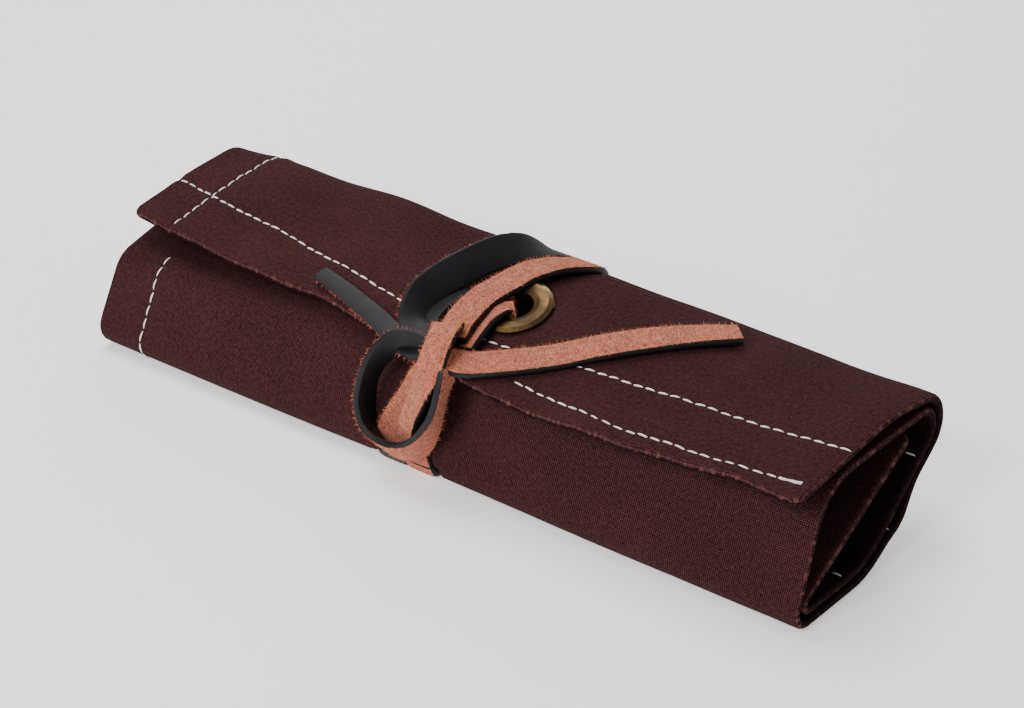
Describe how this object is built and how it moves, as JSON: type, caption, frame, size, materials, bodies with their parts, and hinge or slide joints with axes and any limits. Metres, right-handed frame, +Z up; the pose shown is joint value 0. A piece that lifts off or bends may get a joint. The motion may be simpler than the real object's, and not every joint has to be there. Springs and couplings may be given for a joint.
{
  "type": "watch roll",
  "caption": "Rolled canvas strip with hemmed edges and a pocket layer, closed by a flat lace that passes through a grommet and round the middle, tied in a bow.",
  "frame": {"origin": "on the table under the front edge of the roll's flat underside, halfway along the roll", "axes": "+X along the roll towards the end that shows the open turns, +Y from front to rear, +Z up"},
  "size_m": [0.23, 0.0874, 0.0514],
  "materials": {
    "canvas": "plain-weave cotton canvas, dark red-brown",
    "lining": "the same canvas, folded inside",
    "thread": "off-white topstitching",
    "brass": "aged brass",
    "lace_suede": "flesh side of the lace, tan suede",
    "lace_grain": "grain side of the lace, black"
  },
  "bodies": {
    "core": {"canvas_base": "canvas", "canvas_front": "canvas", "canvas_inner_top": "canvas", "canvas_inner_back": "canvas", "pocket_base": "lining", "pocket_front": "lining", "pocket_inner_top": "lining", "pocket_inner_back": "lining", "end_hem_body": "lining", "seam_end_hem_body": "thread", "seam_dividers": "thread", "lace_base_strands": "lace_suede"},
    "back": {"canvas_back": "canvas", "pocket_back": "lining", "end_hem_back": "lining", "lace_back_strands": "lace_suede"},
    "spine": {"canvas_spine": "canvas", "pocket_spine": "lining", "end_hem_spine": "lining", "lace_spine_strands": "lace_suede"},
    "flap": {"canvas_flap": "canvas", "pocket_flap": "lining", "end_hem_flap": "lining", "side_hem_flap": "lining", "seam_side_hem": "thread", "seam_pocket_side": "thread", "seam_end_hem_flap": "thread", "grommet_eyelet": "brass", "grommet_washer": "brass", "lace_bight": "lace_suede", "lace_ring_left": "lace_grain", "lace_ring_right": "lace_suede", "lace_top_strand": "lace_suede", "lace_top_loop": "lace_grain", "lace_knot": "lace_suede"},
    "inner_end": {"canvas_inner_end": "canvas", "pocket_inner_end": "lining", "end_hem_inner_end": "lining", "side_hem_inner_end": "lining"},
    "bow": {"lace_front_strand": "lace_suede", "lace_front_strand_inner": "lace_suede", "bow_loop": "lace_suede"},
    "tail_right": {"lace_tail_right": "lace_suede"},
    "tail_left": {"lace_tail_left": "lace_grain"}
  },
  "joints": [
    {"name": "open_back", "type": "hinge", "parent": "core", "child": "back", "pos_m": [0, 0.0459, 0.00522], "axis": [-1, 0, 0], "range_deg": [0, 46]},
    {"name": "open_spine", "type": "hinge", "parent": "back", "child": "spine", "pos_m": [0, 0.06281, 0.03166], "axis": [-1, 0, 0], "range_deg": [0, 50]},
    {"name": "open_flap", "type": "hinge", "parent": "spine", "child": "flap", "pos_m": [0, 0.05881, 0.04086], "axis": [-1, 0, 0], "range_deg": [0, 45]},
    {"name": "inner_end_press", "type": "hinge", "parent": "core", "child": "inner_end", "pos_m": [0, 0.0008, 0.0068], "axis": [-1, 0, 0], "range_deg": [0, 5]},
    {"name": "bow_lift", "type": "hinge", "parent": "flap", "child": "bow", "pos_m": [0, 0.0035, 0.0403], "axis": [-1, 0, 0], "range_deg": [0, 60]},
    {"name": "tail_right_swing", "type": "hinge", "parent": "flap", "child": "tail_right", "pos_m": [0.006, 0.0035, 0.0405], "axis": [0, 0, 1], "range_deg": [-20, 4]},
    {"name": "tail_left_swing", "type": "hinge", "parent": "flap", "child": "tail_left", "pos_m": [0, 0.0035, 0.0403], "axis": [0, 0, 1], "range_deg": [-2, 14]}
  ],
  "couplings": [
    {"joint": "open_spine", "follows": "open_flap", "ratio": 1.1111},
    {"joint": "open_back", "follows": "open_flap", "ratio": 1.0222}
  ]
}
